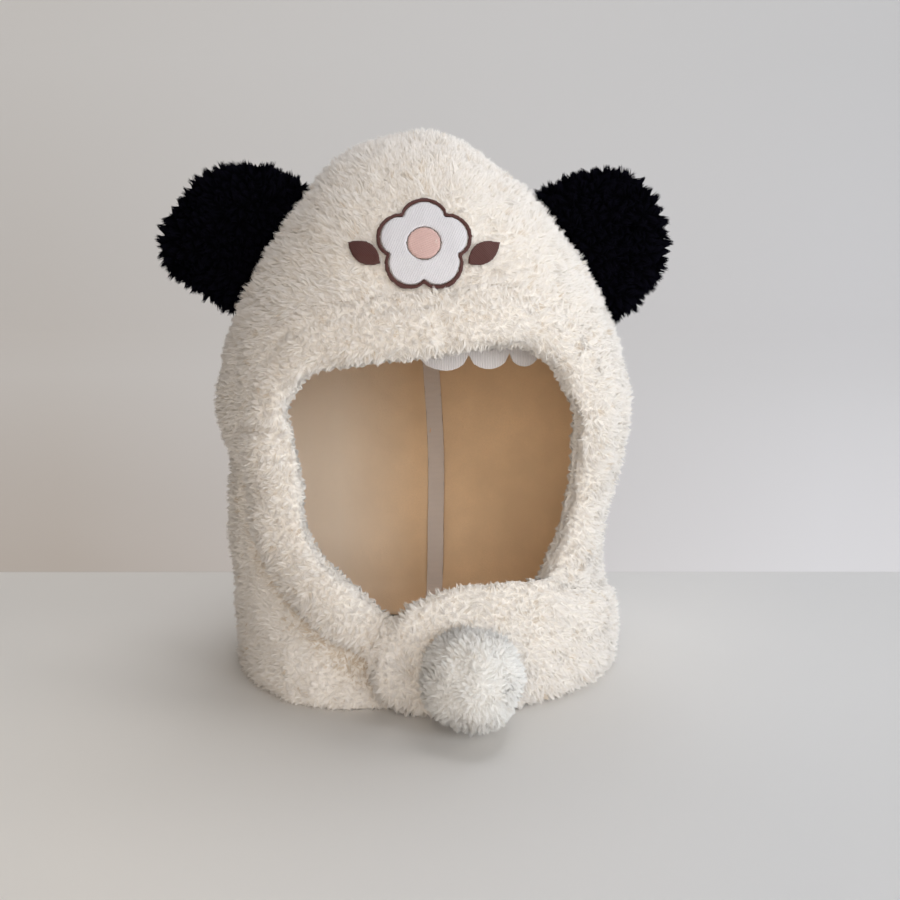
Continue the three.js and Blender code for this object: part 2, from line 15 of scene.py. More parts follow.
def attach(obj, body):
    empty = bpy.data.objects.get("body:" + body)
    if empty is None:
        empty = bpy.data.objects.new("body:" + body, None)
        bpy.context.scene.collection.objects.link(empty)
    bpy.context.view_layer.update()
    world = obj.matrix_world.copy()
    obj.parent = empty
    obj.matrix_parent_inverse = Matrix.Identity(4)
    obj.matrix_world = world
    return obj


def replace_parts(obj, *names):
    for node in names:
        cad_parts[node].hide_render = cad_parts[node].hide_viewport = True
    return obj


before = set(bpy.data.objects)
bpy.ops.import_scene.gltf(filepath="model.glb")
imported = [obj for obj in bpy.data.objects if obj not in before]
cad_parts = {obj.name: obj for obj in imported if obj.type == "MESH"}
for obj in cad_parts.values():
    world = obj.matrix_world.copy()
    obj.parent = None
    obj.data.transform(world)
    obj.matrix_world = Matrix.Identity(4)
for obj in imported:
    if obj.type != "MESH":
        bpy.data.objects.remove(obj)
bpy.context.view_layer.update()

bl_info = {
    "name": "Animal hood scarf",
    "version": (1, 0, 0),
    "blender": (4, 5, 0),
    "location": "View3D > Sidebar > Hood",
    "description": "Fleece, plush, lining, badge and stage of a child's hood scarf",
    "category": "Object",
}

MM = 0.001
AXIS = (4.15 * MM, 25.0 * MM)  # the hood's own axis, over the floor
BADGE = ("badge_outline", "badge_petals", "badge_leaf_left", "badge_leaf_right")


# Settings that a user would change


def length(default, low, high, name, description):
    """A length property, shown in the scene's own unit."""
    return FloatProperty(
        name=name, description=description, default=default * MM, min=low * MM, max=high * MM,
        unit="LENGTH", subtype="DISTANCE", precision=5,
    )


def colour(default, name, description):
    """A colour property in linear light."""
    return FloatVectorProperty(
        name=name, description=description, default=default, min=0, max=1, size=3, subtype="COLOR",
    )


class HoodSizes(bpy.types.PropertyGroup):
    """Lengths of the pile and of the thin trim."""

    voxel: length(3, 2, 6, "Skin grid", "Grid that the padded skins are rebuilt on")
    inset: length(2.2, 0, 6, "Pile room", "How far the skin lies under the outline, for the pile's sake")
    pile: length(3.5, 1, 10, "Pile length", "Length of the fleece's locks")
    tuft: length(3.3, 2, 12, "Tuft size", "Distance between two tufts of the fleece")
    fibre: length(0.85, 0.3, 3, "Lock width", "Width of one lock of fibres at its root")
    patch: length(15.0, 5, 60, "Patch size", "Stretch over which the pile keeps its direction")
    plush: length(4.8, 1, 12, "Plush length", "Length of the ears' locks")
    ball: length(3.2, 1, 10, "Ball pile", "Length of the pompom's locks")
    rib: length(0.9, 0.4, 2, "Tape rib", "Distance between two puckers of the seam tape")


class HoodCounts(bpy.types.PropertyGroup):
    """How many locks of fibres each piece carries."""

    crown: IntProperty(name="Crown", description="Locks on the crown", default=62000, min=100)
    collar: IntProperty(name="Collar", description="Locks on the collar", default=62000, min=100)
    roll: IntProperty(name="Roll", description="Locks on the roll", default=42000, min=100)
    flap: IntProperty(name="Flap", description="Locks on the flap", default=30000, min=100)
    ear: IntProperty(name="Ear", description="Locks on each ear", default=13500, min=100)
    ball: IntProperty(name="Pompom", description="Locks on the pompom", default=14000, min=100)


class HoodColours(bpy.types.PropertyGroup):
    """Colours of the cloths and threads."""

    # The root colours, darker than the tops, are partly the ground's own colour and partly painted shade
    # between the locks
    fleece: colour((0.96, 0.912, 0.862), "Fleece", "Tops of the cream fleece's curls")
    fleece_root: colour((0.90, 0.84, 0.76), "Fleece root", "Ground of the cream fleece")
    ball: colour((0.95, 0.935, 0.90), "Pompom", "Tops of the pompom's curls")
    ball_root: colour((0.88, 0.85, 0.80), "Pompom root", "Ground of the pompom's fleece")
    plush: colour((0.005, 0.0047, 0.0085), "Plush", "Tops of the black plush")
    plush_root: colour((0.001, 0.001, 0.0013), "Plush root", "Ground of the black plush")
    lining: colour((0.91, 0.66, 0.42), "Lining", "Nap of the tan lining")
    tape: colour((0.84, 0.75, 0.69), "Tape", "Satin of the seam tape")
    trim: colour((0.76, 0.71, 0.69), "Trim", "Weave of the scalloped trim")
    white: colour((0.88, 0.855, 0.88), "White thread", "Petals of the badge")
    pink: colour((0.80, 0.53, 0.48), "Pink thread", "Middle of the badge")
    brown: colour((0.105, 0.035, 0.028), "Brown thread", "Outline and leaves of the badge")


SIZES, COUNTS, COLOURS = "hood_sizes", "hood_counts", "hood_colours"


def sizes():
    """The scene's own lengths."""
    return getattr(bpy.context.scene, SIZES)


def counts():
    """The scene's own fibre counts."""
    return getattr(bpy.context.scene, COUNTS)


def colours():
    """The scene's own colours."""
    return getattr(bpy.context.scene, COLOURS)


# Shader maths


class Value:
    """A node's output that takes part in Python arithmetic, each operation adding its Math node."""

    def __init__(self, look, socket):
        self.look = look
        self.socket = socket

    def _math(self, operation, a, b=0.0):
        return self.look.node("ShaderNodeMath", {"operation": operation}, {0: a, 1: b})

    def __add__(self, other):
        return self._math("ADD", self, other)

    def __radd__(self, other):
        return self._math("ADD", other, self)

    def __sub__(self, other):
        return self._math("SUBTRACT", self, other)

    def __rsub__(self, other):
        return self._math("SUBTRACT", other, self)

    def __mul__(self, other):
        return self._math("MULTIPLY", self, other)

    def __rmul__(self, other):
        return self._math("MULTIPLY", other, self)

    def __pow__(self, other):
        return self._math("POWER", self, other)

    def sine(self):
        return self._math("SINE", self)

    def absolute(self):
        return self._math("ABSOLUTE", self)

    def within(self, low, high):
        """The value as a share of the range from low to high, held between 0 and 1."""
        inputs = {"Value": self, "From Min": low, "From Max": high}
        return self.look.node("ShaderNodeMapRange", {"clamp": True}, inputs)


class Look:
    """A material whose nodes are written as Python expressions."""

    def __init__(self, name):
        self.material = bpy.data.materials.new(name)
        self.material.use_nodes = True
        self.nodes = self.material.node_tree.nodes
        self.nodes.clear()

    def node(self, kind, settings=None, inputs=None, output=0):
        """A new node of that kind: its settings first, then the values or links of its sockets."""
        made = self.nodes.new(kind)
        for key, value in (settings or {}).items():
            setattr(made, key, value)
        for key, value in (inputs or {}).items():
            if isinstance(value, Value):
                self.material.node_tree.links.new(value.socket, made.inputs[key])
            else:
                made.inputs[key].default_value = value
        return Value(self, made.outputs[output])

    def mix(self, share, first, second, way="MIX"):
        """A colour between two colours."""
        settings = {"data_type": "RGBA", "blend_type": way}
        first, second = (c if isinstance(c, Value) else (*c, 1.0) for c in (first, second))
        return self.node("ShaderNodeMix", settings, {0: share, 6: first, 7: second}, output=2)

    def place(self):
        """The point's place in the part's frame, in metres."""
        return self.node("ShaderNodeTexCoord", output=3)

    def noise(self, vector, scale, detail=2.0, roughness=0.5):
        inputs = {"Vector": vector, "Scale": scale, "Detail": detail, "Roughness": roughness}
        return self.node("ShaderNodeTexNoise", None, inputs)

    def cells(self, vector, scale, feature="F1"):
        return self.node("ShaderNodeTexVoronoi", {"feature": feature}, {"Vector": vector, "Scale": scale})

    def attribute(self, name):
        """A number that each vertex carries."""
        return self.node("ShaderNodeAttribute", {"attribute_name": name}, output=2)

    def bump(self, height, strength, distance):
        inputs = {"Height": height, "Strength": strength, "Distance": distance}
        return self.node("ShaderNodeBump", None, inputs)

    def finish(self, inputs):
        """Ends the tree in one Principled shader with these sockets, and gives the material."""
        surface = self.node("ShaderNodeBsdfPrincipled", None, inputs)
        end = self.nodes.new("ShaderNodeOutputMaterial")
        self.material.node_tree.links.new(surface.socket, end.inputs["Surface"])
        return self.material


# Materials


def pile_look(name, tip, root, sheen, dark):
    """Fibres whose colour runs from root to tip; the darker, warmer root is partly the ground's own colour
    and partly painted shade between the locks.

    Locks of a low tone turn to a deeper colour of the root, which dark makes lighter or darker; a low tone
    is partly random and partly painted shade.
    """
    look = Look(name)
    along = look.attribute("along")
    tone_and_shade = look.attribute("tone_and_shade")
    # Partly painted shade: darker and warmer towards the root, between the locks
    body = look.mix(along.within(0.0, 0.85), root, tip)
    deep = [c ** 2.7 * dark for c in root]
    # Painted shade, with random tone: locks of a low tone take the deep colour
    body = look.mix(tone_and_shade.within(0.0, 0.42), look.mix(0.85, body, deep), body)
    return look.finish({
        "Base Color": body, "Roughness": 0.95, "Sheen Weight": sheen, "Sheen Roughness": 0.5,
        "Specular IOR Level": 0.3 * sheen,
    })


def ground_look(name, tip, root, scale, sheen=0.3):
    """The backing that shows between the fibres: curled ends over a darker ground, which is partly its own
    colour and partly painted shade between the curls.
    """
    look = Look(name)
    place = look.place()
    curls = look.cells(place, scale).within(0.0, 0.75)
    patches = look.noise(place, scale * 0.12, 3.0).within(0.3, 0.7)
    # Partly painted shade: the ground darkens between the curls
    body = look.mix(curls, tip, root)
    body = look.mix(patches * 0.3, body, root)
    relief = look.bump(1 - curls, 0.8, 1.2 * MM)
    return look.finish({
        "Base Color": body, "Roughness": 0.95, "Sheen Weight": sheen, "Normal": relief,
        "Specular IOR Level": 0.3 * sheen,
    })


def nap_look(name, base, scale):
    """A short brushed nap with a fine crumb and soft cloudy patches, and painted light that makes its left
    side paler.
    """
    look = Look(name)
    place = look.place()
    crumb = look.noise(place, scale, 4.0, 0.65)
    cloud = look.noise(place, scale * 0.025, 3.0, 0.5)
    side = look.node("ShaderNodeSeparateXYZ", None, {0: place}, output=0).within(-0.05, 0.0)
    pale = [min(1.0, c * 1.07) for c in base]
    deep = [c * 0.88 for c in base]
    body = look.mix(cloud.within(0.35, 0.68), deep, pale)
    body = look.mix(crumb.within(0.35, 0.65) * 0.35, body, deep)
    # Painted light: the left side is paler, where light from the right falls on it
    body = look.mix(side, [c ** 0.5 for c in base], body)
    relief = look.bump(crumb, 0.5, 0.6 * MM)
    return look.finish({
        "Base Color": body, "Roughness": 0.9, "Sheen Weight": 0.35, "Specular IOR Level": 0.15,
        "Normal": relief,
    })


def satin_look(name, base, lay, pitch, gloss=0.42):
    """Satin stitches or a satin weave: fine parallel threads across the direction that lay gives."""
    look = Look(name)
    place = look.place()
    wander = look.noise(place, 220.0, 2.0) * 1.4
    run = look.node("ShaderNodeVectorMath", {"operation": "DOT_PRODUCT"}, {0: place, 1: lay}, output=1)
    thread = (run * (math.tau / pitch) + wander).sine() * 0.5 + 0.5
    fade = look.noise(place, 90.0, 3.0).within(0.3, 0.7)
    deep = [c * 0.72 for c in base]
    body = look.mix(thread * 0.55 + 0.45, deep, base)
    body = look.mix(fade * 0.25, body, [c * 0.88 for c in base])
    relief = look.bump(thread, 0.7, 0.25 * MM)
    return look.finish({
        "Base Color": body, "Roughness": gloss + 0.2 * fade, "Normal": relief,
        "Specular IOR Level": 0.35, "Sheen Weight": 0.1,
    })


# Meshes


def arrays(mesh):
    """A mesh's vertices, edges and vertex normals."""
    count = len(mesh.vertices)
    points = np.empty(count * 3, np.float32)
    mesh.vertices.foreach_get("co", points)
    edges = np.empty(len(mesh.edges) * 2, np.int32)
    mesh.edges.foreach_get("vertices", edges)
    normals = np.empty(count * 3, np.float32)
    mesh.vertex_normals.foreach_get("vector", normals)
    return points.reshape(-1, 3).astype(float), edges.reshape(-1, 2), normals.reshape(-1, 3).astype(float)


def set_points(mesh, points):
    mesh.vertices.foreach_set("co", np.ascontiguousarray(points, np.float32).ravel())
    mesh.update()


def smoothed(points, edges, rounds, weight=0.5):
    """Points moved towards the middle of their neighbours and back a little, so the form keeps its size."""
    count = len(points)
    around = np.bincount(edges.ravel(), minlength=count).astype(float)
    around[around == 0] = 1
    for turn in range(rounds * 2):
        total = np.empty_like(points)
        for axis in range(3):
            total[:, axis] = np.bincount(edges[:, 0], points[edges[:, 1], axis], count)
            total[:, axis] += np.bincount(edges[:, 1], points[edges[:, 0], axis], count)
        move = total / around[:, None] - points
        points = points + move * (weight if turn % 2 == 0 else -1.03 * weight)
    return points


def tree_of(mesh):
    """A mesh's surface, ready for nearest-point questions."""
    mesh.calc_loop_triangles()
    corners = np.empty(len(mesh.loop_triangles) * 3, np.int32)
    mesh.loop_triangles.foreach_get("vertices", corners)
    return BVHTree.FromPolygons([v.co for v in mesh.vertices], corners.reshape(-1, 3).tolist())


def distances(points, surface):
    """How far each point is from a surface, in metres."""
    return np.array([surface.find_nearest(p)[3] for p in points.tolist()])


def lumps(points, pitch, seed):
    """A smooth random number between about -1 and 1 for each point, with humps of about that pitch."""
    places = (points + seed).tolist()
    return np.array([noise.noise(Vector(place) / pitch, noise_basis="PERLIN_NEW") for place in places]) * 2


def sideways(skin, surface):
    """How far each point of a skin is from a surface that lies over it, measured along the skin."""
    away = np.array([surface.find_nearest(p)[0] for p in skin.points.tolist()]) - skin.points
    along = away - skin.normals * (away * skin.normals).sum(1)[:, None]
    far = np.linalg.norm(away, axis=1)
    return np.where(far > 12 * MM, far, np.linalg.norm(along, axis=1))


def added(name, mesh, material):
    """A new piece that rides on the part and takes its finish from that slot."""
    piece = bpy.data.objects.new(name, mesh)
    bpy.context.scene.collection.objects.link(piece)
    mesh.materials.clear()
    mesh.materials.append(material)
    for face in mesh.polygons:
        face.use_smooth = True
    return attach(piece, "root")


def gridded(size):
    """The modifier that rebuilds a closed mesh on an even grid."""
    return "REMESH", {"mode": "VOXEL", "voxel_size": size}


def modified(mesh, name, modifiers):
    """A new mesh: a copy of one with these modifiers applied in turn."""
    copy = bpy.data.objects.new(name, mesh.copy())
    bpy.context.scene.collection.objects.link(copy)
    for kind, settings in modifiers:
        modifier = copy.modifiers.new(kind.lower(), kind)
        for key, value in settings.items():
            setattr(modifier, key, value)
    bpy.context.view_layer.update()
    made = bpy.data.meshes.new_from_object(copy.evaluated_get(bpy.context.evaluated_depsgraph_get()))
    bpy.data.objects.remove(copy)
    made.name = name
    return made


def unit(vectors):
    """Vectors brought to length 1."""
    return vectors / np.maximum(np.linalg.norm(vectors, axis=1, keepdims=True), 1e-9)


def eased(values, low, high):
    """0 below low, 1 above high and a smooth step between."""
    share = np.clip((values - low) / (high - low), 0, 1)
    return share * share * (3 - 2 * share)


def nearest_of(places, points):
    """For each point, the number of the place that lies nearest to it."""
    tree = kdtree.KDTree(len(places))
    for i, place in enumerate(places.tolist()):
        tree.insert(place, i)
    tree.balance()
    return np.array([tree.find(point)[1] for point in points.tolist()])


class Skin:
    """A closed surface that carries a pile.

    Growth says where the pile grows, from 0 to 1; a second field says where its locks turn to a deeper
    colour, which is painted shade.
    """

    def __init__(self, node, name, grid, rounds):
        self.mesh = modified(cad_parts[node].data, name, [gridded(grid)])
        points, self.edges, _ = arrays(self.mesh)
        self.move(smoothed(points, self.edges, rounds))
        self.mesh.calc_loop_triangles()
        corners = np.empty(len(self.mesh.loop_triangles) * 3, np.int32)
        self.mesh.loop_triangles.foreach_get("vertices", corners)
        self.triangles = corners.reshape(-1, 3)
        self.growth = np.ones(len(self.points))
        self.painted_shade = np.zeros(len(self.points))

    def move(self, points):
        """New places for the points, and the normals there."""
        set_points(self.mesh, points)
        self.points, _, self.normals = arrays(self.mesh)

    def outside(self, points):
        """How far each point lies outside the skin, less than 0 within it, and how far off it is."""
        nearest = nearest_of(self.points, points)
        away = points - self.points[nearest]
        return (away * self.normals[nearest]).sum(1), np.linalg.norm(away, axis=1)

    def sunk(self, depth):
        """Moves the points in along their normals, each by its own depth."""
        self.move(self.points - self.normals * np.broadcast_to(depth, len(self.points))[:, None])

    def near(self, line, width):
        """1 on a line of points, falling to 0 at about two widths from it."""
        line = np.array(line, float) * MM
        away = np.full(len(self.points), np.inf)
        for start, end in zip(line[:-1], line[1:]):
            along = end - start
            share = np.clip((self.points - start) @ along / (along @ along), 0, 1)
            away = np.minimum(away, np.linalg.norm(self.points - start - share[:, None] * along, axis=1))
        return np.exp(-((away / (width * MM)) ** 2))

    def creased(self, line, depth, width, swell=0.3):
        """Presses a crease along a line of points, in millimetres, with a slight swell on both sides."""
        groove = self.near(line, width) * (1 + swell) - swell * self.near(line, 2.6 * width)
        self.sunk(groove * self.growth * depth * MM)

    def sampled(self, count, growth, rng):
        """Places spread by growth, with their normals, growth and painted shade there, and the surface's
        area.
        """
        a, b, c = (self.points[self.triangles[:, k]] for k in range(3))
        area = np.linalg.norm(np.cross(b - a, c - a), axis=1)
        total = np.cumsum(area * np.sqrt(growth[self.triangles].mean(1)))
        face = np.searchsorted(total, (np.arange(count) + rng.random(count)) / count * total[-1])
        face = np.minimum(face, len(total) - 1)
        u, v = rng.random(count), rng.random(count)
        over = u + v > 1
        u[over], v[over] = 1 - u[over], 1 - v[over]
        shares = np.stack([1 - u - v, u, v], 1)[:, :, None]
        corners = self.triangles[face]
        places = (self.points[corners] * shares).sum(1)
        normals = unit((self.normals[corners] * shares).sum(1))
        amount, painted_shade = ((field[corners] * shares[:, :, 0]).sum(1) for field in (growth, self.painted_shade))
        return places, normals, amount, painted_shade, total[-1] / 2


SIDES = 3  # flat sides of one lock of fibres
TUFT_SPREAD = 0.18  # how much tufts differ in height, direction and tone
LOCK_SPREAD = 0.12  # how much the locks of one tuft differ in height and tone
MEAN_TONE = 0.64
STUBBLE = 0.35  # share of its length that a lock keeps where the pile ends
ROUND = 0.4  # share of a lock's own roundness in its normals; the rest is the skin's


def spikes(name, places):
    """A mesh of closed spikes, each with its corners round the root and then its tip."""
    count, each = places.shape[:2]
    corners = [corner for k in range(SIDES) for corner in (k, (k + 1) % SIDES, SIDES)]
    corners = np.array(corners) + np.arange(count)[:, None] * each
    mesh = bpy.data.meshes.new(name)
    mesh.vertices.add(count * each)
    mesh.vertices.foreach_set("co", places.astype(np.float32).ravel())
    mesh.loops.add(corners.size)
    mesh.loops.foreach_set("vertex_index", corners.astype(np.int32).ravel())
    mesh.polygons.add(count * SIDES)
    mesh.polygons.foreach_set("loop_start", (np.arange(count * SIDES) * 3).astype(np.int32))
    mesh.update(calc_edges=True)
    return mesh, corners.ravel()


def pile(name, skin, count, long, tuft, width, look, slot, seed, growth=None, gather=0.8, comb=None,
         lean=0.0, patch=0.35, floor=None):
    """Locks of fibres over a skin, as one piece: they lean together into tufts and lie in patches."""
    rng = np.random.default_rng(seed)
    growth = skin.growth if growth is None else growth
    root, normal, amount, painted_shade, area = skin.sampled(count, growth, rng)
    middles = skin.sampled(max(8, int(area / (0.87 * tuft * tuft))), growth, rng)[0]
    tuft_of = nearest_of(middles, root)
    drift = np.stack([lumps(middles, sizes().patch, 10.0 * k + seed) for k in range(3)], 1) * patch
    drift = (drift + TUFT_SPREAD * rng.normal(size=drift.shape))[tuft_of]
    height = long * (1 + TUFT_SPREAD * rng.normal(size=len(middles)))[tuft_of]
    height *= 1 + LOCK_SPREAD * rng.normal(size=count)
    height = np.clip(height, 0.5 * long, 1.35 * long) * (STUBBLE + (1 - STUBBLE) * amount)

    def flat(vectors):
        """Vectors laid down along the skin."""
        return vectors - normal * (vectors * normal).sum(1)[:, None]

    way = drift + rng.normal(size=(count, 3)) * 0.1
    if comb is not None:
        way = way + comb(root) * lean
    way = flat(way) * height[:, None]
    rise = np.sqrt(np.clip(1 - (np.linalg.norm(way, axis=1) / height) ** 2, 0.2, 1))
    tip = root + normal * (height * rise)[:, None] + way + flat(middles[tuft_of] - root) * gather
    first = unit(flat(rng.normal(size=(count, 3))))
    second = np.cross(normal, first)
    turns = math.tau * np.arange(2 * SIDES) / 2 / SIDES
    outs = [first * math.cos(turn) + second * math.sin(turn) for turn in turns]
    places = np.stack([root + out * (width / 2) for out in outs[::2]] + [tip], 1)
    if floor is not None:
        places[:, :, 2] = np.maximum(places[:, :, 2], floor)
    mesh, corner = spikes(name, places)
    spread = TUFT_SPREAD * rng.normal(size=len(middles))[tuft_of]
    spread += LOCK_SPREAD * rng.normal(size=count)
    # Random tone, lowered where the skin carries painted shade
    tone_and_shade = np.clip(MEAN_TONE + spread * (1 - painted_shade) - painted_shade, 0, 1)
    tones_and_shade, alongs = np.repeat(tone_and_shade, SIDES + 1), np.tile([0.0] * SIDES + [1.0], count)
    for key, values in (("tone_and_shade", tones_and_shade), ("along", alongs)):
        mesh.attributes.new(key, "FLOAT", "POINT").data.foreach_set("value", values.astype(np.float32))
    # In the map, tone with its painted shade runs across and along runs up, so a lock is a narrow upright
    # triangle
    shift = np.tile([0.004 * (k - 1) for k in range(SIDES)] + [0.0], count)
    flat_map = np.stack([0.01 + 0.98 * tones_and_shade + shift, 0.02 + 0.96 * alongs], 1)[corner]
    mesh.uv_layers.new(name="OFBake").data.foreach_set("uv", flat_map.astype(np.float32).ravel())
    piece = added(name, mesh, look)
    # Softened normals, so that a lock's sides don't part too hard into light and dark
    soft = [unit(normal * (1 - ROUND) + out * ROUND) for out in outs]
    order = [k % len(soft) for side in range(0, len(soft), 2) for k in (side, side + 2, side + 1)]
    normals = np.stack([soft[k] for k in order], 1).reshape(-1, 3)
    mesh.normals_split_custom_set(normals.astype(np.float32))
    return piece


# Pieces


MIDDLE = np.array([4.0, -20.0, 130.0]) * MM  # of the cavity behind the face
CLOTHS = ("hood_lining", "hood_shell", "face_rim", "collar_flap")
FLOOR_GAP = 0.4 * MM  # that the pile keeps over the floor
CROWN_LOW, CROWN_TURN = 0.17, 1.3  # height from which outward turns up, and how fast

# Lines, in millimetres, along which the skins are creased or drawn out
CHEEK_FOLD = (
    (-101, -20, 143), (-87, -43, 151), (-76, -51, 151), (-69, -51, 149), (-66, -51, 143), (-63, -50, 135),
)
BROW_FOLD = ((12, -72, 214), (15, -72, 207), (17, -72, 201))
FLAP_VALLEY = ((-13, -82, 48), (-11, -82, 42), (-6, -82, 31), (-2, -81, 14), (-2, -80, 6))
CORNER = ((-53, -46, 186), (-56, -47, 184))
TAB_CORNER = ((-22, -76, 64), (-27, -76, 50))
NOTCH = ((-69, -52, 171), (-70, -53, 169))

# How far, in millimetres, the padding is moved
VALLEY = 5.2  # the hood pressed in beside the left band
VALLEY_PAINTED_SHADE = 0.62  # painted shade: how much deeper the pile's colour is in that valley
BROW_FILL = 4.2  # the hood raised beside the roll over the brow
BROW_PRESS = 0.6  # taken off that again, also under the badge
ROLL_FILL = 1.8  # the roll raised beside the hood over the brow
BAND_WIDER = 5.0  # the left band's outer side moved out
BAND_TURN = 4.5  # the left band's outer side raised, which turns it to the right
INSIDE_SHORTER = 0.75  # share that the pile loses towards the cavity


def outward(points):
    """Level direction out of the hood's own axis, turning up towards the crown."""
    out = points - np.array([AXIS[0], AXIS[1], 0.0])
    out[:, 2] = np.maximum(points[:, 2] - CROWN_LOW, 0.0) * CROWN_TURN
    return unit(out)


def below(points, top, soft):
    """0 above a height, easing to 1 over a stretch down from it."""
    return eased(top - points[:, 2], 0.0, soft)


def left_band(points, top):
    """1 on the left side between the floor and a height, easing to 0 round it."""
    over_floor = eased(points[:, 2], 0.02, 0.05)
    return eased(-points[:, 0], 0.02, 0.05) * over_floor * below(points, top, 0.03)


def facing(skin, way):
    """How squarely each point of a skin faces a direction, from -1 to 1."""
    return (skin.normals * way).sum(1)


def gap_to(skin, nodes):
    """How far each point of a skin is from the nearest of some CAD solids."""
    return np.minimum.reduce([distances(skin.points, tree_of(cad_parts[node].data)) for node in nodes])


def padding(points):
    """Uneven padding: broad humps with smaller ones on them."""
    return (0.7 * lumps(points, 26 * MM, 3.1) + 0.5 * lumps(points, 11 * MM, 7.7)) * MM


def fleece_skin(node, name, grid, reach):
    """A padded piece's skin, drawn in to leave room for its pile, except where it lies on a neighbour.

    Reach is the share of that room at an outer edge beside a neighbour.
    """
    skin = Skin(node, name, grid, 8)
    gap = gap_to(skin, [other for other in CLOTHS if other != node])
    outer = eased(facing(skin, outward(skin.points)), 0.15, 0.55)
    skin.growth = np.maximum(eased(gap, 0.8 * MM, 5 * MM), reach * outer)
    skin.sunk((sizes().inset + padding(skin.points)) * skin.growth)
    return skin


def hood_skin():
    """The hood's skin, pressed in beside the left band with painted shade in that valley, and raised to
    meet the roll over the brow.
    """
    skin = Skin("hood_shell", "hood_fleece", sizes().voxel, 8)
    lining = tree_of(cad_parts["hood_lining"].data)
    found = [lining.find_nearest(place) for place in skin.points.tolist()]
    out = unit(skin.points - np.array([hit[0] for hit in found]))
    skin.growth = eased(np.array([hit[3] for hit in found]), 1.5 * MM, 10 * MM)
    rim = gap_to(skin, ["face_rim"])
    low = below(skin.points, 0.15, 0.07) * eased(-skin.points[:, 0], -0.005, 0.015)
    fill = BROW_FILL * eased(gap_to(skin, BADGE), 3 * MM, 12 * MM) - BROW_PRESS
    move = (1 - eased(rim, 6 * MM, 34 * MM)) * low * VALLEY * MM
    move -= (1 - eased(rim, 1 * MM, 22 * MM)) * (1 - low) * fill * MM
    # Painted shade: the pile in the valley beside the left band turns to a deeper colour
    skin.painted_shade = VALLEY_PAINTED_SHADE * low * (1 - eased(rim, 9 * MM, 28 * MM))
    move += sizes().inset + padding(skin.points)
    skin.move(skin.points - out * (move * skin.growth)[:, None])
    return skin


def roll_skin(hood):
    """The roll's skin: it meets the hood over the brow, and its left band turns to the right."""
    roll = fleece_skin("face_rim", "roll_fleece", 0.75 * sizes().voxel, 0.3)
    inward = facing(roll, unit(MIDDLE - roll.points))
    high = roll.points[:, 2]
    pressed = 1.0 + 3.0 * (1 - eased(high, 0.16, 0.19)) * eased(high, 0.07, 0.1)
    roll.sunk(eased(inward, 0.1, 0.6) * roll.growth * pressed * MM)
    _, away = hood.outside(roll.points)
    filled = (1 - eased(away, 2 * MM, 9 * MM)) * eased(roll.points[:, 2], 0.15, 0.17)
    filled *= eased(facing(roll, outward(roll.points)), 0.1, 0.4)
    roll.move(roll.points + outward(roll.points) * (ROLL_FILL * MM * filled)[:, None])
    roll.creased(BROW_FOLD, 1.5, 4.0)
    roll.creased(CHEEK_FOLD, 3.5, 3.0)
    level = np.array([1.0, 0.0, 1.0])
    for line, far, width in ((CORNER, 6.0, 10.0), (NOTCH, 4.5, 6.0)):
        share = roll.near(line, width) * roll.growth * far * MM
        roll.move(roll.points - unit((MIDDLE - roll.points) * level) * share[:, None])
    outer = eased(-inward, 0.2, 0.7) * left_band(roll.points, 0.155)
    roll.move(roll.points - unit((MIDDLE - roll.points) * level) * (BAND_WIDER * MM * outer)[:, None])
    across = eased(gap_to(roll, ["hood_lining"]), 6 * MM, 30 * MM) * left_band(roll.points, 0.165)
    roll.move(roll.points + outward(roll.points) * (BAND_TURN * MM * across)[:, None])
    return roll


def flap_skin():
    """The flap's skin, with a valley beside the pompom and its tab drawn out."""
    flap = fleece_skin("collar_flap", "flap_fleece", 0.8 * sizes().voxel, 1.0)
    flap.creased(FLAP_VALLEY, 2.5, 6.0)
    tab = flap.near(TAB_CORNER, 12.0) * flap.growth * 8.0 * MM
    flap.move(flap.points + np.array([1.0, 0.0, -0.3]) * tab[:, None])
    return flap


def grown(skins, name):
    """Where a skin's pile grows: everywhere outside the other skins and off the lining.

    Beside another skin the pile stands straight out of the hood.
    """
    skin = skins[name]
    amount = eased(gap_to(skin, ["hood_lining"]), 0.8 * MM, 2.2 * MM)
    for other in (skins[key] for key in skins if key != name):
        height, away = other.outside(skin.points)
        amount *= np.maximum(eased(height, -2.2 * MM, -0.8 * MM), eased(away, 9 * MM, 12 * MM))
        beside = (1 - eased(away, 3 * MM, 8 * MM))[:, None]
        skin.normals = unit(skin.normals * (1 - beside) + outward(skin.points) * beside)
    return amount


def away_from_badge(places):
    """Direction in which the crown's pile is brushed: out from the badge, and down behind it."""
    out = places - np.array([0.004, -0.02, 0.235])
    out[:, 2] -= 0.05 * eased(places[:, 1], 0.0, 0.08)
    return unit(out)


